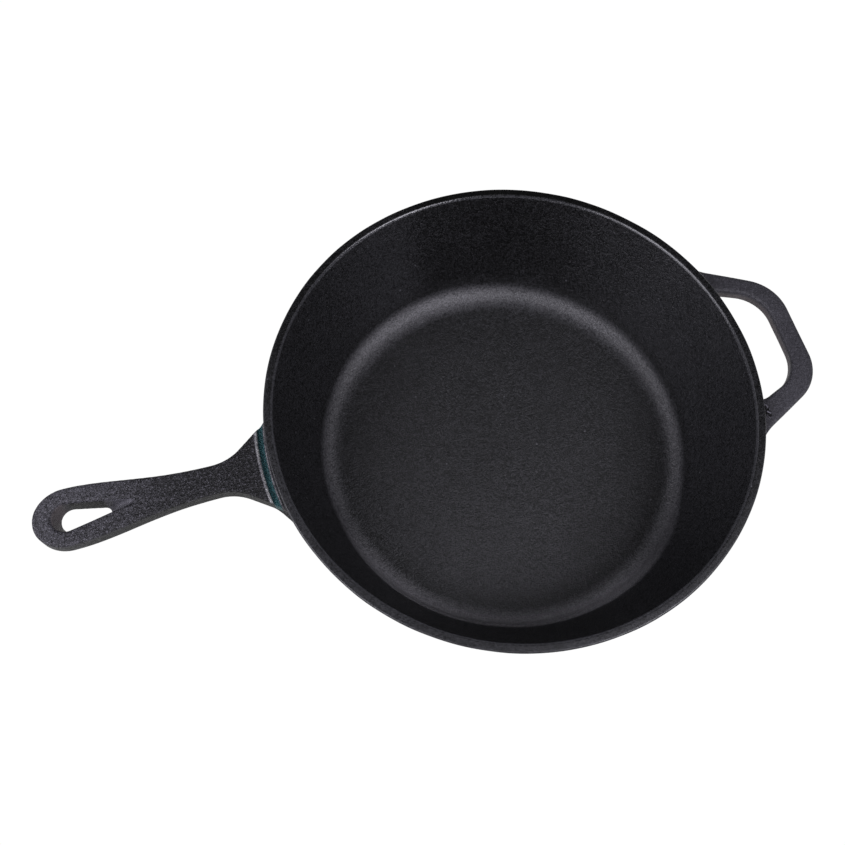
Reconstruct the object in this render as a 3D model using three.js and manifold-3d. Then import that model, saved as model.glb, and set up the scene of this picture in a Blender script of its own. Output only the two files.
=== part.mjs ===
// A deep cast iron skillet with a long main handle and a loop-shaped helper handle.
// Millimetres, +Z up. The origin is the centre of the flat base. The main handle runs along -X
// and the helper handle along +X. The real skillet is one casting: the meshes below are its
// named sections, parted along its own feature lines with a narrow gap.
import * as THREE from "three";
import { ConvexGeometry } from "three/addons/geometries/ConvexGeometry.js";
import { mergeVertices } from "three/addons/utils/BufferGeometryUtils.js";
import Module from "manifold-3d";

const wasm = await Module();
wasm.setup();

// Driving dimensions of the pan.
const HEIGHT = 75; // base to rim
const RIM_RADIUS = 130; // outside of the rim
const RIM_HEIGHT = 6.7; // of the section that is called the rim
const WALL = 4.4; // square to the wall
const FLOOR = 5; // floor thickness
const FLARE = THREE.MathUtils.degToRad(18.3); // lean of the wall from upright
const CORNER_INSIDE = 8.5; // fillet between floor and wall
const CORNER_OUTSIDE = 12; // round between base and wall
const RIM_ROUND_OUT = 0.9; // rounding of the rim's outer edge
const RIM_ROUND_IN = 1.4; // and of its inner edge

// Driving dimensions of the handles. Both lie below the rim with their tops level.
const HANDLE_TOP = HEIGHT - 6.4;
const GROOVE = 2.5; // radius of the groove between the main handle and the rim
const GROOVE_AT = RIM_RADIUS + 2.2; // its middle, from the pan's axis
const GROOVE_DEPTH = 1.8; // how far the groove sinks below the handle's top

const MAIN_THICKNESS = 10;
const MAIN_NECK_AT = 158.5; // narrowest place, from the pan's axis
const MAIN_NECK = 7.75; // half width there
const MAIN_ROOT_FILLET = 25; // in plan, from the neck out to the straight flanks of the root
const MAIN_ROOT_SPREAD = 36.5; // degrees that each flank opens from the handle's axis
const MAIN_WIDEST_AT = 233;
const MAIN_WIDEST = 15.2; // half width there
const MAIN_END = 249.7; // tip of the handle

const HELPER_THICKNESS = 8;
const HELPER_END = 163.8;

const GAP = 0.3; // between neighbouring sections
const AROUND = 96; // facets round the pan

const lean = Math.tan(FLARE);
// How far the rounded outer edge stands in from the sharp corner of the rim's top and the wall.
const rimCutBack = RIM_ROUND_OUT * (lean + 1 / Math.cos(FLARE) - 1);
const outerRadius = (z) => RIM_RADIUS + rimCutBack - (HEIGHT - z) * lean;
const innerRadius = (z) => outerRadius(z) - WALL / Math.cos(FLARE);

// ---------------------------------------------------------------- helpers
const v2 = (x, y) => new THREE.Vector2(x, y);

// Points of an arc in the (radius, height) plane; angles in degrees from the outward direction.
function arc(cx, cz, radius, from, to, steps) {
  return Array.from({ length: steps + 1 }, (_, i) => {
    const a = THREE.MathUtils.degToRad(from + ((to - from) * i) / steps);
    return v2(cx + radius * Math.cos(a), cz + radius * Math.sin(a));
  });
}

// A solid of revolution about Z. The profile runs anticlockwise: outwards, up, inwards, down.
const turned = (profile) => new THREE.LatheGeometry(profile, AROUND).rotateX(Math.PI / 2);

const closed = (profile) => [...profile, profile[0].clone()];

// The points of a path, without the doubled ones where two of its curves meet.
function pointsOf(path) {
  const points = path.getPoints(14);
  return points.filter((p, i) => p.distanceTo(points[(i + 1) % points.length]) > 0.01);
}

// A flat plate between two heights, with rounded edges where round is given.
function plate(shape, bottom, top, round = 0) {
  const clean = new THREE.Shape(pointsOf(shape));
  clean.holes = shape.holes.map((hole) => new THREE.Path(pointsOf(hole)));
  const geometry = new THREE.ExtrudeGeometry(clean, {
    depth: top - bottom - 2 * round,
    bevelEnabled: round > 0,
    bevelThickness: round,
    bevelSize: round,
    bevelOffset: -round,
    bevelSegments: 3,
  });
  return geometry.translate(0, 0, bottom + round);
}

function solid(geometry) {
  const bare = geometry.clone();
  bare.deleteAttribute("normal");
  bare.deleteAttribute("uv");
  const merged = mergeVertices(bare.index ? bare.toNonIndexed() : bare, 1e-4);
  return new wasm.Manifold(
    new wasm.Mesh({
      numProp: 3,
      vertProperties: merged.attributes.position.array,
      triVerts: new Uint32Array(merged.index.array),
    }),
  );
}

function geometryOf(manifold) {
  const { vertProperties, triVerts } = manifold.getMesh();
  const geometry = new THREE.BufferGeometry();
  geometry.setAttribute("position", new THREE.BufferAttribute(vertProperties, 3));
  geometry.setIndex(new THREE.BufferAttribute(triVerts, 1));
  return geometry;
}

// ---------------------------------------------------------------- the pan
// How far a corner's fillet eats into the flat and into the wall it joins.
const filletRun = (radius) => radius * Math.tan((Math.PI / 2 - FLARE) / 2);
const leanDegrees = THREE.MathUtils.radToDeg(FLARE);
const floorFlat = innerRadius(FLOOR) - filletRun(CORNER_INSIDE);
const baseFlat = outerRadius(0) - filletRun(CORNER_OUTSIDE);
const rimFoot = HEIGHT - RIM_HEIGHT;
const discRadius = floorFlat - GAP;

const floorDisc = turned([v2(0, 0), v2(discRadius, 0), v2(discRadius, FLOOR), v2(0, FLOOR)]);

// Where the corner's inner fillet runs out into the wall, and the point square across the wall
// from it. The corner and the wall part along that line.
const filletEnd = v2(
  floorFlat + CORNER_INSIDE * Math.cos(FLARE),
  FLOOR + CORNER_INSIDE * (1 - Math.sin(FLARE)),
);
const acrossWall = v2(Math.cos(FLARE), -Math.sin(FLARE)).multiplyScalar(WALL);
const upWall = v2(Math.sin(FLARE), Math.cos(FLARE)).multiplyScalar(GAP);

const cornerRing = turned(
  closed([
    v2(discRadius + GAP, 0),
    ...arc(baseFlat, CORNER_OUTSIDE, CORNER_OUTSIDE, -90, -leanDegrees, 6),
    filletEnd.clone().add(acrossWall),
    ...arc(floorFlat, FLOOR + CORNER_INSIDE, CORNER_INSIDE, -leanDegrees, -90, 7),
    v2(discRadius + GAP, FLOOR),
  ]),
);

const wallTop = rimFoot - GAP;
const wall = turned(
  closed([
    filletEnd.clone().add(upWall),
    filletEnd.clone().add(acrossWall).add(upWall),
    v2(outerRadius(wallTop), wallTop),
    v2(innerRadius(wallTop), wallTop),
  ]),
);

const rimInZ = HEIGHT - RIM_ROUND_IN;
const rimInR = innerRadius(rimInZ) + RIM_ROUND_IN / Math.cos(FLARE);
const rim = turned(
  closed([
    v2(innerRadius(rimFoot), rimFoot),
    v2(outerRadius(rimFoot), rimFoot),
    ...arc(RIM_RADIUS - RIM_ROUND_OUT, HEIGHT - RIM_ROUND_OUT, RIM_ROUND_OUT, -leanDegrees, 90, 5),
    ...arc(rimInR, rimInZ, RIM_ROUND_IN, 90, 180 - leanDegrees, 4),
  ]),
);

// Everything that the pan fills, grown by the gap, to cut the handles back from the wall.
const panAndGap = solid(
  turned([
    v2(0, -1),
    v2(outerRadius(0) + GAP, -1),
    v2(RIM_RADIUS + GAP, HEIGHT - RIM_ROUND_OUT),
    v2(RIM_RADIUS + GAP, HEIGHT + 1),
    v2(0, HEIGHT + 1),
  ]),
);

// ---------------------------------------------------------------- both handles
// A concave gusset under a handle, between the plate's underside and the wall.
function gusset(plateBottom, radius) {
  const foot = outerRadius(plateBottom - radius);
  return solid(
    turned(
      closed([
        v2(foot - 4, plateBottom - radius),
        v2(foot, plateBottom - radius),
        ...arc(foot + radius + 3, plateBottom - radius, radius + 0.001, 160, 90, 6),
        v2(foot + radius + 3, plateBottom + 1),
        v2(foot - 4, plateBottom + 1),
      ]),
    ),
  );
}

// A handle: its plate, joined to the gusset within the same outline, cut back from the pan.
function handle(outline, thickness, edgeRound, gussetRadius) {
  const bottom = HANDLE_TOP - thickness;
  const web = gusset(bottom, gussetRadius).intersect(
    solid(plate(outline, bottom - gussetRadius - 1, HANDLE_TOP - 1)),
  );
  return solid(plate(outline, bottom, HANDLE_TOP, edgeRound)).add(web).subtract(panAndGap);
}

// ---------------------------------------------------------------- the main handle
const mainOutline = new THREE.Shape();
{
  const filletY = MAIN_NECK + MAIN_ROOT_FILLET;
  const spread = THREE.MathUtils.degToRad(MAIN_ROOT_SPREAD);
  const flankX = -MAIN_NECK_AT + MAIN_ROOT_FILLET * Math.sin(spread); // where the fillet ends
  const flankY = filletY - MAIN_ROOT_FILLET * Math.cos(spread);
  const insideX = -RIM_RADIUS + 14; // the flanks run on into the wall, where they are cut back
  const insideY = flankY + (insideX - flankX) * Math.tan(spread);
  const front = MAIN_NECK_AT + 34; // pulls of the shank's long curve, from its two ends
  const back = MAIN_WIDEST_AT - 22;
  mainOutline.moveTo(insideX, -insideY);
  mainOutline.lineTo(insideX, insideY);
  mainOutline.lineTo(flankX, flankY);
  mainOutline.absarc(-MAIN_NECK_AT, filletY, MAIN_ROOT_FILLET, spread - Math.PI / 2, -Math.PI / 2, true);
  mainOutline.bezierCurveTo(-front, MAIN_NECK, -back, MAIN_WIDEST, -MAIN_WIDEST_AT, MAIN_WIDEST);
  mainOutline.absellipse(
    -MAIN_WIDEST_AT, 0, MAIN_END - MAIN_WIDEST_AT, MAIN_WIDEST, Math.PI / 2, 1.5 * Math.PI, false, 0,
  );
  mainOutline.bezierCurveTo(-back, -MAIN_WIDEST, -front, -MAIN_NECK, -MAIN_NECK_AT, -MAIN_NECK);
  mainOutline.absarc(-MAIN_NECK_AT, -filletY, MAIN_ROOT_FILLET, Math.PI / 2, Math.PI / 2 - spread, true);
  mainOutline.closePath();
}

// The hanging hole: a teardrop that narrows downwards, its point towards the pan. Each level is
// the outline round a large and a small circle.
const HOLE_TOP = { at: -233.4, radius: 7.4, pointAt: -199.8, pointRadius: 1.1 };
const HOLE_BOTTOM = { at: -231.3, radius: 6, pointAt: -216.4, pointRadius: 2.7 };

function hangingHole() {
  const points = [];
  const through = 0.3; // part of the thickness by which the cutter passes each face
  for (const level of [-through, 1 + through]) {
    const [at, radius, pointAt, pointRadius] = Object.keys(HOLE_TOP).map((key) =>
      THREE.MathUtils.lerp(HOLE_BOTTOM[key], HOLE_TOP[key], level),
    );
    const z = HANDLE_TOP - MAIN_THICKNESS * (1 - level);
    for (let i = 0; i < 28; i++) {
      const a = (2 * Math.PI * i) / 28;
      points.push(new THREE.Vector3(at + radius * Math.cos(a), radius * Math.sin(a), z));
      const r = Math.max(pointRadius, 0.6);
      points.push(new THREE.Vector3(pointAt + r * Math.cos(a), r * Math.sin(a), z));
    }
  }
  return solid(new ConvexGeometry(points));
}

// The groove that runs round the rim where the main handle's top meets it.
const groove = new THREE.TorusGeometry(GROOVE_AT, GROOVE, 16, 2 * AROUND);
groove.translate(0, 0, HANDLE_TOP + GROOVE - GROOVE_DEPTH);

const mainHandle = handle(mainOutline, MAIN_THICKNESS, 1.4, 11)
  .subtract(hangingHole())
  .subtract(solid(groove));

// ---------------------------------------------------------------- the helper handle
// A flat loop: two arms that close in towards a straight grip bar.
const HELPER_OPENING = 153.2; // inner face of the grip bar, from the pan's axis
const OUTER = { corner: 25.5, half: 14, turn: 63 }; // radius, half length of the bar's side, degrees
const INNER = { corner: 20, half: 10.8, turn: 68 };
const OPENING_SHIFT = 0.9; // the arm at -Y is a little the stouter one

const ROOT_FLARE = { from: 11.5, rise: 4.7 }; // where the arms spread on to the wall

// One side of the loop: the bar's straight middle, its two corners, and the arms' straight sides
// on to the plane x = footX. With a flare, the sides spread there, up to its rise.
function loopSide(path, barX, { corner, half, turn }, footX, shift, flare) {
  const a = THREE.MathUtils.degToRad(turn);
  const centreX = barX - corner;
  const sideY = (x) => half + corner * Math.sin(a) + (centreX + corner * Math.cos(a) - x) / Math.tan(a);
  const foot = sideY(footX);
  if (flare) path.moveTo(footX - 6, -foot - flare.rise).lineTo(footX, -foot - flare.rise);
  else path.moveTo(footX, -foot + shift);
  if (flare) path.quadraticCurveTo(footX + 4.5, -foot, footX + flare.from, -sideY(footX + flare.from));
  path.lineTo(centreX + corner * Math.cos(a), -half - corner * Math.sin(a) + shift);
  path.absarc(centreX, -half + shift, corner, -a, 0, false);
  path.absarc(centreX, half + shift, corner, 0, a, false);
  if (flare) path.lineTo(footX + flare.from, sideY(footX + flare.from));
  if (flare) path.quadraticCurveTo(footX + 4.5, foot, footX, foot + flare.rise);
  if (flare) path.lineTo(footX - 6, foot + flare.rise);
  else path.lineTo(footX, foot + shift);
  path.closePath();
}

const helperOutline = new THREE.Shape();
loopSide(helperOutline, HELPER_END, OUTER, 118.5, 0, ROOT_FLARE);
const opening = new THREE.Path();
loopSide(opening, HELPER_OPENING, INNER, 118, OPENING_SHIFT);
helperOutline.holes.push(opening);

const helperHandle = handle(helperOutline, HELPER_THICKNESS, 1.4, 7);

// ---------------------------------------------------------------- the object
const castIron = (color, roughness) => new THREE.MeshStandardMaterial({ color, roughness, metalness: 0.45 });

const group = new THREE.Group();
group.name = "cast_iron_skillet";
for (const [name, geometry, material] of [
  ["pan_floor", floorDisc, castIron("#2d2d2f", 0.55)],
  ["pan_corner", cornerRing, castIron("#38383b", 0.45)],
  ["pan_wall", wall, castIron("#252527", 0.55)],
  ["pan_rim", rim, castIron("#37373a", 0.5)],
  ["main_handle", geometryOf(mainHandle), castIron("#3c3c41", 0.6)],
  ["helper_handle", geometryOf(helperHandle), castIron("#3f3e44", 0.6)],
]) {
  const mesh = new THREE.Mesh(geometry, material);
  mesh.name = name;
  group.add(mesh);
}

export default group;
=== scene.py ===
"""A deep cast iron skillet: one dark seasoned casting with a long main handle and a helper loop.

The pan is turned from its profile. Each handle is modelled as a distance field, so that its
rounded edges, its hole and the fillets where it grows out of the pan are one smooth surface,
and is meshed by a surface net. The look of the iron comes from two procedural materials. Lengths
are in millimetres up to mesh_piece(), which makes metres; the studio at the end is in metres.
"""

import math

import bpy
import numpy as np
from mathutils import Matrix, Vector


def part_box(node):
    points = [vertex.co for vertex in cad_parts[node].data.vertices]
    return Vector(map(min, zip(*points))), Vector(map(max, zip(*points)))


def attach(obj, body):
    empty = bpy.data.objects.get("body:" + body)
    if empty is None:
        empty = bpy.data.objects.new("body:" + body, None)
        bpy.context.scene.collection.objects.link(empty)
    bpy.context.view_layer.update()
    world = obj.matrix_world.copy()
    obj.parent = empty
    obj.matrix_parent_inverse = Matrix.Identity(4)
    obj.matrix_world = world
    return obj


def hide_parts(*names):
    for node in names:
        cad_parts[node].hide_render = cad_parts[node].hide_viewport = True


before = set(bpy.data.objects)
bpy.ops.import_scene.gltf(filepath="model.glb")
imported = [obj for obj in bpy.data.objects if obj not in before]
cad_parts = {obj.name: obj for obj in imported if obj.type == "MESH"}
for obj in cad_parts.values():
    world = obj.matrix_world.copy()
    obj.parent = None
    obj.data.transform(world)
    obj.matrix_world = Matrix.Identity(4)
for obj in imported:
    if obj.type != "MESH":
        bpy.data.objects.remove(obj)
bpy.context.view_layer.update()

# ------------------------------------------------------------------ sizes, in millimetres
MM = 0.001
RIGHT = math.pi / 2


def box_mm(node):
    """A CAD node's lowest and highest corners in millimetres."""
    low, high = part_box(node)
    return Vector(low) / MM, Vector(high) / MM


rim_high = box_mm("pan_rim")[1]
main_low, main_high = box_mm("main_handle")
RIM_RADIUS, HEIGHT = rim_high.x, rim_high.z
FLOOR = box_mm("pan_floor")[1].z
HANDLE_TOP = main_high.z
MAIN_END = -main_low.x
HELPER_END = box_mm("helper_handle")[1].x

FLARE = math.radians(18.3)  # lean of the wall from upright
WALL = 4.4  # square to the wall
RIM_ROUND_OUT = 0.9  # rounding of the rim's outer edge
RIM_ROUND_IN = 1.4  # and of its inner edge
CORNER_INSIDE = 8.5  # fillet between floor and wall
CORNER_OUTSIDE = 12  # round between base and wall

MAIN_THICKNESS = 10
MAIN_ROUND_TOP, MAIN_ROUND_BOTTOM = 1.4, 2.0  # rounding of its edges
MAIN_NECK_AT, MAIN_NECK = 158.5, 7.75  # the narrowest place, and the half width there
MAIN_WIDEST_AT, MAIN_WIDEST = 233, 15.2
NECK_PULL, WIDEST_PULL = 34, 22  # of the shank's long curve, from its two ends
MAIN_ROOT_FILLET = 25  # in plan, from the neck out to the straight flanks of the root
MAIN_ROOT_SPREAD = math.radians(36.5)  # that each flank opens from the handle's axis
ROOT_INSIDE = RIM_RADIUS - 14  # where the flanks end, inside the wall
GROOVE, GROOVE_DEPTH = 2.5, 1.8  # between the main handle and the rim: radius and depth
GROOVE_AT = RIM_RADIUS + 2.2
GROOVE_ROUND = 0.5  # of its edges

# The hanging hole is the outline round two circles. Each number is given at the handle's
# underside, with what it gains on the way to the top.
HOLE_AT, HOLE_RADIUS = (-231.3, -2.1), (6.0, 1.3)
POINT_AT, POINT_RADIUS = (-216.4, 16.6), (2.7, -1.6)
HOLE_ROUND = 1.6  # of its edges

HELPER_THICKNESS = 8
HELPER_ROUND_TOP, HELPER_ROUND_BOTTOM = 2.2, 3.0
HELPER_OPENING = 153.2  # inner face of the grip bar
HELPER_CORNER, HELPER_HALF = 25.5, 14  # outer corner, half length of the bar's outer side
OPENING_CORNER, OPENING_HALF = 20, 10.8
OPENING_SHIFT = 0.9  # the near arm is the stouter one
ARM_OUTER, ARM_INNER = math.radians(63), math.radians(68)  # turns from the bar to an arm
ARM_FOOT, OPENING_FOOT = 112, 118  # where the arms and the opening end, inside the wall

# How each handle grows out of the pan: the sizes of its fillets under, beside and over it.
MAIN_FILLETS = {"under": 15, "beside": 6, "over": 0}
HELPER_FILLETS = {"under": 10, "beside": 9, "over": 2.5}
UNDER_TO, BESIDE_FROM = 12, 6  # below the handle's top, where one gives way to the other
ROOT_ROUND = 1.2  # of the top's edge on those fillets
FILLET_TOP = 3.6  # above the handle's top
TUCK = 0.05  # how far a handle's skin lies under the pan's where it runs out
SUNK = 0.8  # how far a handle's mesh reaches into the pan

# How far along the pan each handle's field goes: half its span across, and its start along X.
# The fillet under the main handle reaches further out than its span, which cuts off its ends.
MAIN_HALF_SPAN, MAIN_START = 40, -90
HELPER_HALF_SPAN, HELPER_START = 68, 100

STEP = 0.7  # cell of the surface nets
AROUND = 360  # quads round the pan

# How far the rounded outer edge stands in from the sharp corner of the rim's top and the wall.
RIM_CUT_BACK = RIM_ROUND_OUT * (math.tan(FLARE) + 1 / math.cos(FLARE) - 1)


def outer_radius(z):
    return RIM_RADIUS + RIM_CUT_BACK - (HEIGHT - z) * math.tan(FLARE)


def inner_radius(z):
    return outer_radius(z) - WALL / math.cos(FLARE)


# ------------------------------------------------------------------ curves
def arc(cx, cy, radius, start, end, steps, radius_y=None):
    """Points round part of a circle or an ellipse, angles in radians."""
    ry = radius if radius_y is None else radius_y
    angles = np.linspace(start, end, steps + 1)
    return [(cx + radius * math.cos(a), cy + ry * math.sin(a)) for a in angles]


def line(a, b, steps):
    return [tuple(p) for p in np.linspace(a, b, steps + 1)]


def bezier(a, b, c, d, steps):
    """Points along a cubic Bezier curve."""
    t = np.linspace(0, 1, steps + 1)[:, None]
    a, b, c, d = (np.array(p, float) for p in (a, b, c, d))
    curve = (1 - t) ** 3 * a + 3 * (1 - t) ** 2 * t * b + 3 * (1 - t) * t**2 * c + t**3 * d
    return [tuple(p) for p in curve]


def joined(*runs):
    """One list of points from runs that share their end points."""
    same = 1e-3
    points = []
    for run in runs:
        for p in run:
            if not points or math.dist(p, points[-1]) > same:
                points.append(p)
    if math.dist(points[0], points[-1]) < same:
        points.pop()
    return points


def mirrored(half):
    """A closed outline from its half at +Y, whose last point may lie on the axis."""
    return joined(half, [(x, -y) for x, y in reversed(half)])


# ------------------------------------------------------------------ the pan's profile
fillet_run = math.tan((RIGHT - FLARE) / 2)
floor_flat = inner_radius(FLOOR) - CORNER_INSIDE * fillet_run
base_flat = outer_radius(0) - CORNER_OUTSIDE * fillet_run
base_arc = arc(base_flat, CORNER_OUTSIDE, CORNER_OUTSIDE, -RIGHT, -FLARE, 14)
rim_out_z = HEIGHT - RIM_ROUND_OUT
rim_out = arc(RIM_RADIUS - RIM_ROUND_OUT, rim_out_z, RIM_ROUND_OUT, -FLARE, RIGHT, 10)
rim_in_z = HEIGHT - RIM_ROUND_IN
rim_in_r = inner_radius(rim_in_z) + RIM_ROUND_IN / math.cos(FLARE)
rim_in = arc(rim_in_r, rim_in_z, RIM_ROUND_IN, RIGHT, math.pi - FLARE, 10)
floor_arc = arc(floor_flat, FLOOR + CORNER_INSIDE, CORNER_INSIDE, -FLARE, -RIGHT, 20)

profile = joined(
    line((0, 0), base_arc[0], 40),
    base_arc,
    line(base_arc[-1], rim_out[0], 36),
    rim_out,
    line(rim_out[-1], rim_in[0], 3),
    rim_in,
    line(rim_in[-1], floor_arc[0], 36),
    floor_arc,
    line(floor_arc[-1], (0, FLOOR), 50),
)

# The outside of the wall for the handles' fields: from well below the handles straight up past
# the rim, and closed on the pan's axis.
BELOW_HANDLES, ABOVE_RIM = 30, HEIGHT + 20
pan_outside = [
    (0, BELOW_HANDLES),
    (outer_radius(BELOW_HANDLES), BELOW_HANDLES),
    rim_out[0],
    (RIM_RADIUS, rim_out_z),
    (RIM_RADIUS, ABOVE_RIM),
    (0, ABOVE_RIM),
]

# ------------------------------------------------------------------ plan outlines of the handles
flank_x = -MAIN_NECK_AT + MAIN_ROOT_FILLET * math.sin(MAIN_ROOT_SPREAD)
flank_y = MAIN_NECK + MAIN_ROOT_FILLET * (1 - math.cos(MAIN_ROOT_SPREAD))
root_y = flank_y + (-ROOT_INSIDE - flank_x) * math.tan(MAIN_ROOT_SPREAD)
fillet_y = MAIN_NECK + MAIN_ROOT_FILLET
tip_length = MAIN_END - MAIN_WIDEST_AT
main_outline = mirrored(
    joined(
        [(-ROOT_INSIDE, root_y), (flank_x, flank_y)],
        arc(-MAIN_NECK_AT, fillet_y, MAIN_ROOT_FILLET, MAIN_ROOT_SPREAD - RIGHT, -RIGHT, 12),
        bezier(
            (-MAIN_NECK_AT, MAIN_NECK),
            (-MAIN_NECK_AT - NECK_PULL, MAIN_NECK),
            (-MAIN_WIDEST_AT + WIDEST_PULL, MAIN_WIDEST),
            (-MAIN_WIDEST_AT, MAIN_WIDEST),
            36,
        ),
        arc(-MAIN_WIDEST_AT, 0, tip_length, RIGHT, 2 * RIGHT, 24, MAIN_WIDEST),
    )
)


def loop_outline(bar_x, corner, half, turn, foot_x, steps):
    """One outline of the helper loop: the bar's side, its corners and the arms' straight sides."""
    centre_x = bar_x - corner
    start_x, start_y = centre_x + corner * math.cos(turn), half + corner * math.sin(turn)
    foot = (foot_x, start_y + (start_x - foot_x) / math.tan(turn))
    return mirrored(joined([foot], arc(centre_x, half, corner, turn, 0, steps), [(bar_x, 0)]))


helper_outline = loop_outline(HELPER_END, HELPER_CORNER, HELPER_HALF, ARM_OUTER, ARM_FOOT, 24)
opening_outline = loop_outline(
    HELPER_OPENING, OPENING_CORNER, OPENING_HALF, ARM_INNER, OPENING_FOOT, 18
)


# ------------------------------------------------------------------ distance fields
def outline_distance(x, y, outline):
    """Signed distance in a plane from points to a closed outline, negative inside it."""
    shape = np.broadcast(x, y).shape
    best, within = np.full(shape, 1e9), np.zeros(shape, bool)
    for (ax, ay), (bx, by) in zip(outline, outline[1:] + outline[:1]):
        ex, ey = bx - ax, by - ay
        wx, wy = x - ax, y - ay
        t = np.clip((wx * ex + wy * ey) / (ex * ex + ey * ey), 0, 1)
        best = np.minimum(best, (wx - ex * t) ** 2 + (wy - ey * t) ** 2)
        if ay != by:
            within ^= ((ay > y) != (by > y)) & (wx < wy * ex / ey)
    return np.sqrt(best) * np.where(within, -1, 1)


def smooth_min(a, b, k):
    """The union of two fields, with their meeting line filled over a width k."""
    h = np.clip(0.5 + 0.5 * (b - a) / k, 0, 1)
    return b + (a - b) * h - k * h * (1 - h)


def smooth_max(a, b, k):
    return -smooth_min(-a, -b, k)


def smooth_step(low, high, x):
    t = np.clip((x - low) / (high - low), 0, 1)
    return t * t * (3 - 2 * t)


def plate(plan, z, thickness, round_top, round_bottom):
    """A level plate under HANDLE_TOP, from its plan distance, with rounded edges."""
    body = smooth_max(plan, z - HANDLE_TOP, round_top)
    return smooth_max(body, HANDLE_TOP - thickness - z, round_bottom)


def capsule(x, y, at, radius, point_at, point_radius):
    """Plan distance to the outline round two circles on the X axis, the pointed one at +X."""
    span = point_at - at
    lean = (radius - point_radius) / span
    level = np.sqrt(1 - lean**2)
    px, py = x - at, np.abs(y)
    along = px * level - py * lean
    big = np.hypot(px, py) - radius
    small = np.hypot(px - span, py) - point_radius
    flank = px * lean + py * level - radius
    return np.where(along < 0, big, np.where(along > span * level, small, flank))


def hanging_hole(x, y, z):
    """The teardrop hole, which narrows downwards, most of all at its point."""
    beyond = 0.4  # part of the thickness over which the hole goes on changing past each face
    level = (z - (HANDLE_TOP - MAIN_THICKNESS)) / MAIN_THICKNESS
    level = np.clip(level, -beyond, 1 + beyond)
    at, radius, point_at, point_radius = (
        bottom + gain * level for bottom, gain in (HOLE_AT, HOLE_RADIUS, POINT_AT, POINT_RADIUS)
    )
    point_radius = np.clip(point_radius, 0.7, 3)
    leaning = 0.95  # the sides lean, so that a true distance is less than the plan's
    return leaning * capsule(x, y, at, radius, point_at, point_radius)


def groove(x, y, z):
    """The ring-shaped groove round the rim, over the main handle's root."""
    height = z - HANDLE_TOP - GROOVE + GROOVE_DEPTH
    return np.hypot(np.hypot(x, y) - GROOVE_AT, height) - GROOVE


def with_pan(body, x, y, z, under, beside, over):
    """A handle grown together with the pan's outside: fillets under, beside and over it."""
    pan = outline_distance(np.hypot(x, y), z, pan_outside) + TUCK
    upward = smooth_step(HANDLE_TOP - UNDER_TO, HANDLE_TOP - BESIDE_FROM, z)
    reach = under + (beside - under) * upward
    flush = smooth_max(smooth_min(body, pan, reach), z - HANDLE_TOP, ROOT_ROUND)
    above = smooth_min(body, pan, over) if over else np.minimum(body, pan)
    grown = np.minimum(above, flush)
    return np.maximum(grown, np.maximum(-(pan + SUNK), z - HANDLE_TOP - FILLET_TOP))


def main_field(x, y, z):
    plan = outline_distance(x, y, main_outline)
    body = plate(plan, z, MAIN_THICKNESS, MAIN_ROUND_TOP, MAIN_ROUND_BOTTOM)
    body = smooth_max(body, -hanging_hole(x, y, z), HOLE_ROUND)
    grown = with_pan(body, x, y, z, **MAIN_FILLETS)
    grown = smooth_max(grown, -groove(x, y, z), GROOVE_ROUND)
    return np.maximum(grown, np.maximum(np.abs(y) - MAIN_HALF_SPAN, x - MAIN_START))


def helper_field(x, y, z):
    opening = outline_distance(x, y - OPENING_SHIFT, opening_outline)
    plan = np.maximum(outline_distance(x, y, helper_outline), -opening)
    body = plate(plan, z, HELPER_THICKNESS, HELPER_ROUND_TOP, HELPER_ROUND_BOTTOM)
    grown = with_pan(body, x, y, z, **HELPER_FILLETS)
    return np.maximum(grown, np.maximum(np.abs(y) - HELPER_HALF_SPAN, HELPER_START - x))


# ------------------------------------------------------------------ meshes
def surface_net(field, low, high):
    """Quads on the zero level of a field over a box: one vertex in each cell that it crosses."""
    axes = [np.arange(a, b + STEP, STEP) for a, b in zip(low, high)]
    x, y, z = np.meshgrid(*axes, indexing="ij", sparse=True)
    values = np.broadcast_to(field(x, y, z), [len(a) for a in axes])
    inside_it = values < 0
    cells = [n - 1 for n in values.shape]
    total, count = np.zeros(cells + [3]), np.zeros(cells)
    edges = []
    for axis in range(3):
        lower, upper = [slice(None)] * 3, [slice(None)] * 3
        lower[axis], upper[axis] = slice(None, -1), slice(1, None)
        a, b = values[tuple(lower)], values[tuple(upper)]
        at = np.argwhere(inside_it[tuple(lower)] != inside_it[tuple(upper)])
        va, vb = a[tuple(at.T)], b[tuple(at.T)]
        point = at.astype(float)
        point[:, axis] += va / (va - vb)
        others = [i for i in range(3) if i != axis]
        ring = []
        for down in ((0, 0), (1, 0), (1, 1), (0, 1)):
            cell = at.copy()
            for other, by in zip(others, down):
                cell[:, other] -= by
            ring.append(cell)
            fits = ((cell >= 0) & (cell < cells)).all(1)
            np.add.at(total, tuple(cell[fits].T), point[fits])
            np.add.at(count, tuple(cell[fits].T), 1)
        flip = (va < 0) != (axis == 1)
        edges.append((ring, flip))
    used = count > 0
    index = np.full(cells, -1)
    index[used] = np.arange(used.sum())
    points = np.array(low) + STEP * total[used] / count[used][:, None]
    faces = []
    for ring, flip in edges:
        whole = np.ones(len(flip), bool)
        for cell in ring:
            whole &= ((cell >= 0) & (cell < cells)).all(1)
        quad = np.stack([index[tuple(cell[whole].T)] for cell in ring], 1)
        quad[~flip[whole]] = quad[~flip[whole]][:, ::-1]
        faces.append(quad)
    for _ in range(4):  # pull the vertices onto the surface itself
        points -= off_surface(field, points)
    return points, np.concatenate(faces).tolist()


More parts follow.
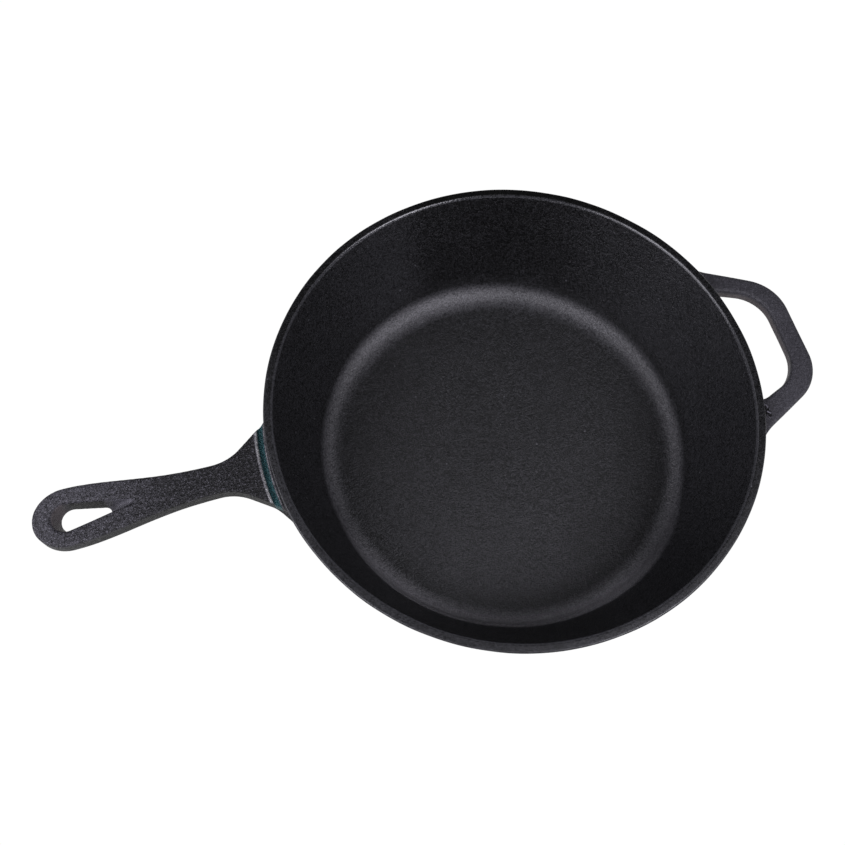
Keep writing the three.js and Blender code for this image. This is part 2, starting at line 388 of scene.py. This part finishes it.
def off_surface(field, points):
    """How far each point is off the zero level, along the field's gradient."""
    small, least_slope, longest = 0.02, 0.2, 0.3
    here = field(*points.T)
    slope = np.stack(
        [
            (field(*(points + small * e).T) - field(*(points - small * e).T)) / (2 * small)
            for e in np.eye(3)
        ],
        1,
    )
    square = np.maximum((slope**2).sum(1), least_slope)
    return np.clip((here / square)[:, None] * slope, -longest, longest)


WAVE_COUNT, WAVE_HEIGHT = 40, 0.012
SHORTEST_WAVE, LONGEST_WAVE = 14, 70
rng = np.random.default_rng(7)
WAVES = [
    (
        rng.normal(size=3),
        rng.uniform(SHORTEST_WAVE, LONGEST_WAVE),
        rng.uniform(0, 2 * math.pi),
    )
    for _ in range(WAVE_COUNT)
]


def cast_unevenness(points):
    """The faint waviness of a sand casting, in millimetres, the same for all the pieces."""
    height = np.zeros(len(points))
    for direction, length, phase in WAVES:
        k = 2 * math.pi * direction / np.linalg.norm(direction) / length
        height += np.sin(points @ k + phase)
    return WAVE_HEIGHT * height * smooth_step(0.5, 4, points[:, 2])  # the base is ground flat


def mesh_piece(name, points, faces):
    """A smooth-shaded, slightly uneven mesh object from points in millimetres."""
    mesh = bpy.data.meshes.new(name)
    mesh.from_pydata((points * MM).tolist(), [], faces)
    mesh.update()
    normals = np.zeros(len(mesh.vertices) * 3, np.float32)
    mesh.vertices.foreach_get("normal", normals)
    moved = points + cast_unevenness(points)[:, None] * normals.reshape(-1, 3)
    mesh.vertices.foreach_set("co", (moved * MM).astype(np.float32).ravel())
    mesh.update()
    mesh.shade_smooth()
    piece = bpy.data.objects.new(name, mesh)
    bpy.context.scene.collection.objects.link(piece)
    return piece


def turned(outline):
    """Points and faces of a profile turned round Z. Its first and last points lie on the axis."""
    ring = np.array(outline[1:-1])
    angles = np.linspace(0, 2 * math.pi, AROUND, endpoint=False)
    x = ring[:, :1] * np.cos(angles)
    y = ring[:, :1] * np.sin(angles)
    z = np.repeat(ring[:, 1:], AROUND, 1)
    ends = [(0, 0, outline[0][1]), (0, 0, outline[-1][1])]
    points = np.concatenate([np.stack((x, y, z), 2).reshape(-1, 3), ends])
    first, last = len(points) - 2, len(points) - 1
    top = (len(ring) - 1) * AROUND
    faces = []
    for start in range(0, top, AROUND):
        above = start + AROUND
        for j in range(AROUND):
            k = (j + 1) % AROUND
            faces.append((start + j, start + k, above + k, above + j))
    for j in range(AROUND):
        k = (j + 1) % AROUND
        faces.append((first, k, j))
        faces.append((last, top + j, top + k))
    return points, faces


# The boxes that hold the handles, with room to spare round them.
MAIN_BOX = (-254, -42, 44), (-86, 42, HANDLE_TOP + 4)
HELPER_BOX = (98, -70, 46), (164, 70, HANDLE_TOP + 6)

pan = mesh_piece("pan_casting", *turned(profile))
main_handle = mesh_piece("main_handle_casting", *surface_net(main_field, *MAIN_BOX))
helper_handle = mesh_piece("helper_handle_casting", *surface_net(helper_field, *HELPER_BOX))


# ------------------------------------------------------------------ material
class Skin:
    """A node material for cast iron, and short ways to add nodes to it.

    Lengths are in millimetres. The methods take sockets or numbers and return a socket. A mask is
    a socket that is one on some part of the iron and zero elsewhere.
    """

    def __init__(self, name):
        self.material = bpy.data.materials.new(name)
        self.material.use_nodes = True
        self.nodes, self.links = self.material.node_tree.nodes, self.material.node_tree.links
        self.shader = self.nodes["Principled BSDF"]
        place = self.nodes.new("ShaderNodeTexCoord")
        self.place = self.scaled(place.outputs["Object"], 1 / MM)
        split = self.nodes.new("ShaderNodeSeparateXYZ")
        self.links.new(self.place, split.inputs["Vector"])
        self.x, self.y, self.z = split.outputs
        self.radius = self.length(self.x, self.y)

    def fill(self, socket, value):
        """Sets a socket to a number or links another socket to it."""
        if isinstance(value, (int, float)):
            socket.default_value = value
        else:
            self.links.new(value, socket)

    def math(self, operation, *values):
        node = self.nodes.new("ShaderNodeMath")
        node.operation = operation
        for socket, value in zip(node.inputs, values):
            self.fill(socket, value)
        return node.outputs["Value"]

    def sum(self, first, *others):
        for other in others:
            first = self.math("ADD", first, other)
        return first

    def times(self, first, *others):
        for other in others:
            first = self.math("MULTIPLY", first, other)
        return first

    def length(self, a, b):
        return self.math("POWER", self.sum(self.times(a, a), self.times(b, b)), 0.5)

    def added(self, value, *parts):
        """A value with masks added to it, each given with its amount."""
        return self.sum(value, *(self.times(mask, amount) for mask, amount in parts))

    def dimmed(self, value, mask, share):
        """A value that loses a share of itself where a mask is one."""
        return self.times(value, self.sum(self.times(mask, -share), 1.0))

    def rise(self, value, low, high, to_low=0.0, to_high=1.0):
        """A smooth step from one number at low to another at high."""
        node = self.nodes.new("ShaderNodeMapRange")
        node.interpolation_type = "SMOOTHSTEP"
        names = ("Value", "From Min", "From Max", "To Min", "To Max")
        for name, number in zip(names, (value, low, high, to_low, to_high)):
            self.fill(node.inputs[name], number)
        return node.outputs["Result"]

    def spread(self, noise, low, high):
        """Noise spread over a range, most of which it fills."""
        return self.rise(noise, 0.3, 0.7, low, high)

    def band(self, value, low, high, soft_low, soft_high):
        """A mask between low and high, over softened edges."""
        up = self.rise(value, low - soft_low, low + soft_low)
        return self.times(up, self.rise(value, high - soft_high, high + soft_high, 1.0, 0.0))

    def along(self, degrees):
        """How far a point lies from the pan's axis in a direction."""
        a = math.radians(degrees)
        return self.sum(self.times(self.x, math.cos(a)), self.times(self.y, math.sin(a)))

    def toward(self, degrees):
        """The cosine of the angle between a point's direction and a given one."""
        return self.math("DIVIDE", self.along(degrees), self.radius)

    def noise(self, size, detail=2, roughness=0.5):
        """Noise between 0 and 1 with features of a size."""
        node = self.nodes.new("ShaderNodeTexNoise")
        node.inputs["Scale"].default_value = 1 / size
        node.inputs["Detail"].default_value = detail
        node.inputs["Roughness"].default_value = roughness
        self.links.new(self.place, node.inputs["Vector"])
        return node.outputs["Fac"]

    def cells(self, size):
        """Distance to the nearest of scattered points, in units of their spacing."""
        node = self.nodes.new("ShaderNodeTexVoronoi")
        node.inputs["Scale"].default_value = 1 / size
        self.links.new(self.place, node.inputs["Vector"])
        return node.outputs["Distance"]

    def mottle(self, fine, coarse):
        """Light and dark grains about zero, from a fine and a coarse noise."""
        return self.sum(self.rise(fine, 0.33, 0.67, -1, 1), self.spread(coarse, -0.4, 0.4))

    def patches(self, size):
        """A factor about one that varies softly over the iron."""
        return self.spread(self.noise(size, 3), 0.86, 1.14)

    def mixed(self, share, a, b):
        """A colour between two others."""
        node = self.nodes.new("ShaderNodeMix")
        node.data_type = "RGBA"
        self.fill(node.inputs["Factor"], share)
        for socket, value in zip((node.inputs[6], node.inputs[7]), (a, b)):
            if isinstance(value, tuple):
                socket.default_value = (*value, 1)
            else:
                self.links.new(value, socket)
        return node.outputs[2]

    def scaled(self, vector, by):
        node = self.nodes.new("ShaderNodeVectorMath")
        node.operation = "SCALE"
        self.links.new(vector, node.inputs[0])
        self.fill(node.inputs["Scale"], by)
        return node.outputs["Vector"]

    def finish(self, colour, lightness, roughness, height, depth, specular):
        """Puts the skin together. The bumps are as deep as depth where height goes from 0 to 1."""
        darkest = 0.1
        lightness = self.math("MAXIMUM", lightness, darkest)
        self.links.new(self.scaled(colour, lightness), self.shader.inputs["Base Color"])
        self.links.new(roughness, self.shader.inputs["Roughness"])
        self.shader.inputs["Specular IOR Level"].default_value = specular
        bump = self.nodes.new("ShaderNodeBump")
        bump.inputs["Strength"].default_value = 1.0
        bump.inputs["Distance"].default_value = depth * MM
        self.links.new(height, bump.inputs["Height"])
        self.links.new(bump.outputs["Normal"], self.shader.inputs["Normal"])
        return self.material


def toned(level, red, green, blue):
    return (level * red, level * green, level * blue)


# The skins' lightness is in units of these levels of reflected light.
PAN_TONE, HANDLE_TONE = 0.0043, 0.011

# Directions in degrees from the helper handle, anticlockwise from above. The near side is the
# one that the camera stands on.
FAR, FAR_LEFT, NEAR_LEFT, NEAR_SLIGHTLY_LEFT, NEAR = 78, 108, 238, 250, 262


def ring_highlight_mask(skin, mottle):
    """The ring where the floor turns up into the wall, with a painted highlight on it.

    It lies higher up on the near side, and the painted highlight is strongest there and on the far
    left.
    """
    ring_from, ring_full, nearer = 91.5, 102, 0.031
    ring_top, fades_over, higher_near = 7.5, 7, 13
    level = skin.sum(skin.z, skin.rise(skin.along(NEAR), 26.25, 105, 0, -higher_near))
    shifted = skin.added(skin.radius, (skin.y, nearer))
    upright = skin.added(skin.radius, (skin.z, -math.tan(FLARE)))  # the same all up the wall
    wall_foot = inner_radius(0)
    return skin.times(
        skin.rise(shifted, ring_from, ring_full),
        skin.rise(level, ring_top + fades_over, ring_top),
        skin.rise(skin.z, FLOOR - 1, FLOOR),
        skin.rise(upright, wall_foot + 2.5, wall_foot + 1.1),  # not on the outside
        skin.sum(skin.times(mottle, 0.3), 1.0),
        skin.rise(skin.toward(FAR_LEFT), 0.75, 1.0, 0.88, 1.45),
        skin.rise(skin.toward(NEAR_SLIGHTLY_LEFT), 0.5, 0.93, 1.0, 3.6),
        skin.rise(skin.x, -95, -40, 0.85, 1.0),
    )


def rim_edge(skin, radius, inner, outer, soft, below):
    """A mask on an edge of the rim: a narrow ring about a radius, down to a depth."""
    ring = skin.band(skin.radius, radius - inner, radius + outer, soft, soft)
    return skin.times(ring, skin.rise(skin.z, HEIGHT - below, HEIGHT - below + 1))


def pan_skin():
    """Seasoned iron, with painted highlights, and smoother, where the floor turns up and at the
    rim's edges.
    """
    skin = Skin("seasoned_iron_pan")
    fine, coarse = skin.noise(0.75, 2, 0.6), skin.noise(2.0)
    mottle = skin.mottle(fine, coarse)
    near_left = skin.along(NEAR_LEFT)

    # A painted highlight, tinted pinkish, on the ring where the floor turns up; the iron there is
    # also smoother.
    ring_highlight = ring_highlight_mask(skin, mottle)
    # A painted sheen: the floor is painted lighter toward the near left.
    near_floor_sheen = skin.times(skin.rise(skin.radius, 96, 84), skin.rise(near_left, 0, 84))
    speck = skin.times(
        skin.rise(skin.cells(9), 0.075, 0.045), skin.rise(skin.noise(14, 1), 0.5, 0.6)
    )

    rim = skin.rise(skin.z, HEIGHT - 1.6, HEIGHT - 0.4)
    # Painted highlights along the rim's inner and outer edges; the inner edge is also smoother.
    inner_edge_highlight = rim_edge(skin, inner_radius(HEIGHT), 0.8, 0.4, 0.4, 2.0)
    outer_edge_highlight = rim_edge(skin, RIM_RADIUS, 0.7, 0.2, 0.3, 1.8)
    # Painted light and shade on the rim: lighter toward the near left, darker toward the far
    # right.
    rim_light_and_shade = skin.times(rim, skin.rise(near_left, 0, 94.5, -1.5, 0.6))
    dull_rim = skin.times(rim, skin.rise(near_left, 31.5, -31.5))

    # Painted light and shade on the wall: it is painted lighter all round, blackest on the far
    # side, with a painted reflection of a lamp on its far left and painted shade on its far right,
    # and painted greyer at right.
    wall = skin.rise(skin.z, 12, 22)
    far = skin.toward(FAR)
    # Painted shade on the far side of the wall.
    seasoned = skin.times(wall, skin.rise(far, 0.88, 0.98))
    # A painted reflection of a lamp on the wall's far left, and painted shade on its far right.
    far_wall_reflection_and_shade = skin.times(wall, skin.band(far, 0.70, 0.93, 0.12, 0.04))
    far_wall_reflection_and_shade = skin.times(far_wall_reflection_and_shade, skin.rise(skin.x, 50, 0, -1.3, 1.0))
    # Painted light on the right of the wall.
    right_wall_light = skin.times(wall, skin.rise(skin.x, 50, 110))

    lightness = skin.added(
        skin.times(skin.sum(skin.times(mottle, 1.7), 1.0), skin.patches(38)),
        (ring_highlight, 7.5),
        (near_floor_sheen, 1.1),
        (speck, 9.0),
        (rim_light_and_shade, 1.0),
        (inner_edge_highlight, 4.5),
        (outer_edge_highlight, 1.2),
        (wall, 0.6),
        (seasoned, -1.2),
        (far_wall_reflection_and_shade, 0.6),
        (right_wall_light, 0.8),
    )
    roughness = skin.added(
        skin.spread(skin.noise(1.3, 3), 0.42, 0.58),
        (ring_highlight, -0.06),
        (inner_edge_highlight, -0.14),
        (wall, -0.12),
        (dull_rim, -0.10),
    )
    height = skin.dimmed(skin.added(fine, (coarse, 0.7)), rim, 0.85)
    bluish, pinkish = toned(PAN_TONE, 1, 1, 1.1), toned(PAN_TONE, 1, 0.98, 1.04)
    tint = skin.mixed(ring_highlight, bluish, pinkish)
    return skin.finish(tint, lightness, roughness, height, depth=0.42, specular=0.28)


def groove_masks(skin, main_side, coarse):
    """Masks for the groove between the main handle and the rim, and for the painted highlights on
    its edges.

    The groove's mask also takes in a small patch on each flank of the handle's root.
    """

    def ring(inner, outer, soft_inner, soft_outer, bottom, top):
        """A ring outside the rim's radius, and above some level under the handle's top."""
        band = skin.band(
            skin.radius, RIM_RADIUS + inner, RIM_RADIUS + outer, soft_inner, soft_outer
        )
        return skin.times(
            band, main_side, skin.rise(skin.z, HANDLE_TOP - bottom, HANDLE_TOP - top)
        )

    inside_it = ring(1.4, 4.2, 0.3, 0.4, 8.6, 6.6)
    # Painted highlights, tinted grey, on the rim's outer edge and on the handle's edge beside the
    # groove.
    pan_edge_highlight = ring(0.6, 1.3, 0.3, 0.3, 2.1, 1.6)
    handle_edge_highlight = ring(4.2, 5.7, 0.3, 0.5, 1.2, 0.5)
    groove_edge_highlight = skin.added(handle_edge_highlight, (pan_edge_highlight, 0.6))
    return inside_it, skin.times(groove_edge_highlight, skin.rise(coarse, 0.3, 0.6, 0.5, 1.15))


def hole_masks(skin):
    """Masks for the hanging hole: its end, a painted highlight on the ramp at its point, and
    painted shade on its far side.
    """
    below_top = skin.rise(skin.z, HANDLE_TOP - 0.3, HANDLE_TOP - 1.6)
    from_end = skin.length(skin.sum(skin.x, -sum(HOLE_AT)), skin.y)
    end = skin.times(skin.rise(from_end, 11, 9), below_top, skin.rise(skin.x, -231, -236))
    by_axis = skin.rise(skin.math("ABSOLUTE", skin.y), 7, 5)
    # A painted highlight on the ramp at the hole's point.
    ramp = skin.times(skin.band(skin.x, -214, -199, 1, 1), by_axis, below_top)
    # Painted shade on the hole's far side.
    far_side_shade = skin.times(skin.rise(skin.y, 9.5, 9), skin.rise(skin.y, 0, 1))
    far_side_shade = skin.times(skin.band(skin.x, -230, -210, 2, 2), below_top, far_side_shade)
    return end, ramp, far_side_shade


def flaw_masks(skin):
    """A small flaw of the casting beside the helper's near root, and the pits in it."""
    flaw_x, flaw_y, half_x, half_y = 127.6, -39.5, 1.8, 4.5
    dx = skin.times(skin.sum(skin.x, -flaw_x), 1 / half_x)
    dy = skin.times(skin.sum(skin.y, -flaw_y), 1 / half_y)
    flaw = skin.rise(skin.sum(skin.times(dx, dx), skin.times(dy, dy)), 1.2, 0.5)
    return flaw, skin.rise(skin.noise(1.7), 0.42, 0.58)


def handle_skin():
    """The rougher skin of the handles, with painted highlights on the edges beside the groove,
    dull teal inside it.
    """
    skin = Skin("seasoned_iron_handle")
    fine, coarse, pebbles = skin.noise(0.7, 2, 0.65), skin.noise(2.2), skin.cells(1.3)
    main_side = skin.rise(skin.x, 0, -10)
    helper_side = skin.times(
        skin.rise(skin.x, 0, 10), skin.rise(skin.z, HANDLE_TOP - 1, HANDLE_TOP - 3.6)
    )
    inside_groove, groove_edge_highlight = groove_masks(skin, main_side, coarse)
    hole_end, ramp, hole_far_side_shade = hole_masks(skin)
    flaw, pits = flaw_masks(skin)
    # Painted shade on the main handle below its top edge: its sides and underside, beyond the
    # groove.
    flank = skin.times(
        main_side,
        skin.rise(skin.z, HANDLE_TOP - 1.2, HANDLE_TOP - 2.8),
        skin.rise(skin.radius, RIM_RADIUS + 5.5, RIM_RADIUS + 7),
    )

    # Painted light along the main handle: its skin is painted darkest by the pan and lightest at
    # its tip; the helper's is even.
    helper_level = 2.2
    main_light_gradient = skin.rise(skin.x, -140, -248, 0.2 - helper_level, 2.3 - helper_level)
    level = skin.sum(skin.times(main_side, main_light_gradient), helper_level)
    mottle = skin.sum(skin.mottle(fine, coarse), skin.rise(pebbles, 0.1, 0.5, 1.4, -0.3))
    grain = skin.times(mottle, skin.sum(skin.times(main_side, 0.85), 0.65))
    lightness = skin.sum(skin.times(skin.patches(30), level), grain)
    lightness = skin.added(lightness, (helper_side, 2.2), (groove_edge_highlight, 13.0))
    lightness = skin.added(skin.dimmed(lightness, inside_groove, 0.8), (inside_groove, 1.8))
    lightness = skin.added(
        skin.dimmed(lightness, flank, 0.6),
        (ramp, 3.0),
        (hole_end, 2.2),
        (hole_far_side_shade, -1.6),
        (flaw, skin.sum(skin.times(pits, 11.0), -3.0)),
    )

    roughness = skin.spread(skin.noise(1.2, 3), 0.44, 0.62)
    strength = skin.times(main_side, skin.rise(skin.x, -135, -240, 1.5, 0.3))
    height = skin.times(
        skin.added(fine, (coarse, 0.8), (pebbles, -0.5)), skin.sum(strength, 0.5)
    )
    height = skin.added(height, (skin.times(flaw, pits), 4.0))

    iron, grey = toned(HANDLE_TONE, 1, 0.97, 1.12), toned(HANDLE_TONE, 1, 1, 1)
    teal, pinkish = toned(HANDLE_TONE, 0.6, 2.1, 2.3), toned(HANDLE_TONE, 1.15, 1, 1.05)
    tint = skin.mixed(inside_groove, iron, teal)
    tint = skin.mixed(skin.sum(helper_side, hole_end), tint, pinkish)
    tint = skin.mixed(skin.math("MINIMUM", groove_edge_highlight, 1), tint, grey)
    return skin.finish(tint, lightness, roughness, height, depth=0.34, specular=0.17)


pan_iron = pan_skin()
handle_iron = handle_skin()

for piece, material, slot, replaced in (
    (pan, pan_iron, "cooking_surface", ("pan_floor", "pan_corner", "pan_wall", "pan_rim")),
    (main_handle, handle_iron, "handle_iron", ("main_handle",)),
    (helper_handle, handle_iron, "handle_iron", ("helper_handle",)),
):
    piece.data.materials.append(material)
    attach(piece, "root")
    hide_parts(*replaced)

# ------------------------------------------------------------------ the studio, in metres
FLOOR_SIZE, FLOOR_AT = 12.0, -0.0003  # half its side, and a hair under the base
FLOOR_GLOW = 1.02  # it gives its own light, and so stays white and takes no shadow
WORLD_GLOW = 0.13
LAMP_COLOUR = (1.0, 0.985, 1.08)

floor_mesh = bpy.data.meshes.new("studio_floor")
floor_mesh.from_pydata(
    [
        (x * FLOOR_SIZE, y * FLOOR_SIZE, FLOOR_AT)
        for x, y in ((-1, -1), (1, -1), (1, 1), (-1, 1))
    ],
    [],
    [(0, 1, 2, 3)],
)
studio_floor = bpy.data.objects.new("studio_floor", floor_mesh)
bpy.context.scene.collection.objects.link(studio_floor)
paper = bpy.data.materials.new("lit_white_floor")
paper.use_nodes = True
for socket, value in (
    ("Base Color", (0, 0, 0, 1)),
    ("Roughness", 1.0),
    ("Specular IOR Level", 0.0),
    ("Emission Color", (1, 1, 1, 1)),
    ("Emission Strength", FLOOR_GLOW),
):
    paper.node_tree.nodes["Principled BSDF"].inputs[socket].default_value = value
floor_mesh.materials.append(paper)

world = bpy.data.worlds.new("studio")
bpy.context.scene.world = world
world.use_nodes = True
world.node_tree.nodes["Background"].inputs["Color"].default_value = (1, 1, 1, 1)
world.node_tree.nodes["Background"].inputs["Strength"].default_value = WORLD_GLOW


def softbox(name, place, side, power):
    """A square lamp that points at the middle of the base."""
    light = bpy.data.lights.new(name, "AREA")
    light.shape = "SQUARE"
    light.size = side
    light.energy = power
    light.color = LAMP_COLOUR
    lamp = bpy.data.objects.new(name, light)
    bpy.context.scene.collection.objects.link(lamp)
    lamp.location = place
    lamp.rotation_euler = (-Vector(place)).to_track_quat("-Z", "Y").to_euler()


softbox("right_near", (0.49, -0.63, 0.94), 0.5, 15.4)
softbox("left", (-0.60, -0.04, 0.54), 0.45, 4.4)
softbox("left_near", (-0.75, -0.45, 0.75), 0.5, 6.0)
softbox("right_high", (0.5, -0.2, 1.2), 0.5, 1.6)
softbox("left_far", (-0.5, 0.6, 0.8), 0.5, 0.8)

CAMERA_AT = Vector((-0.1090, -0.1725, 0.5190))
CAMERA_AIM = Vector((-0.0454, 0.0129, 0.0400))
CAMERA_ROLL = math.radians(3.34)
camera_data = bpy.data.cameras.new("camera")
camera_data.sensor_width = 36
camera_data.lens = 40
camera_data.clip_start = 0.01
camera_data.clip_end = 50
camera = bpy.data.objects.new("camera", camera_data)
bpy.context.scene.collection.objects.link(camera)
turn = (CAMERA_AIM - CAMERA_AT).to_track_quat("-Z", "Y").to_matrix().to_4x4()
camera.matrix_world = Matrix.Translation(CAMERA_AT) @ turn @ Matrix.Rotation(CAMERA_ROLL, 4, "Z")
bpy.context.scene.camera = camera

bpy.context.scene.view_settings.view_transform = "Standard"
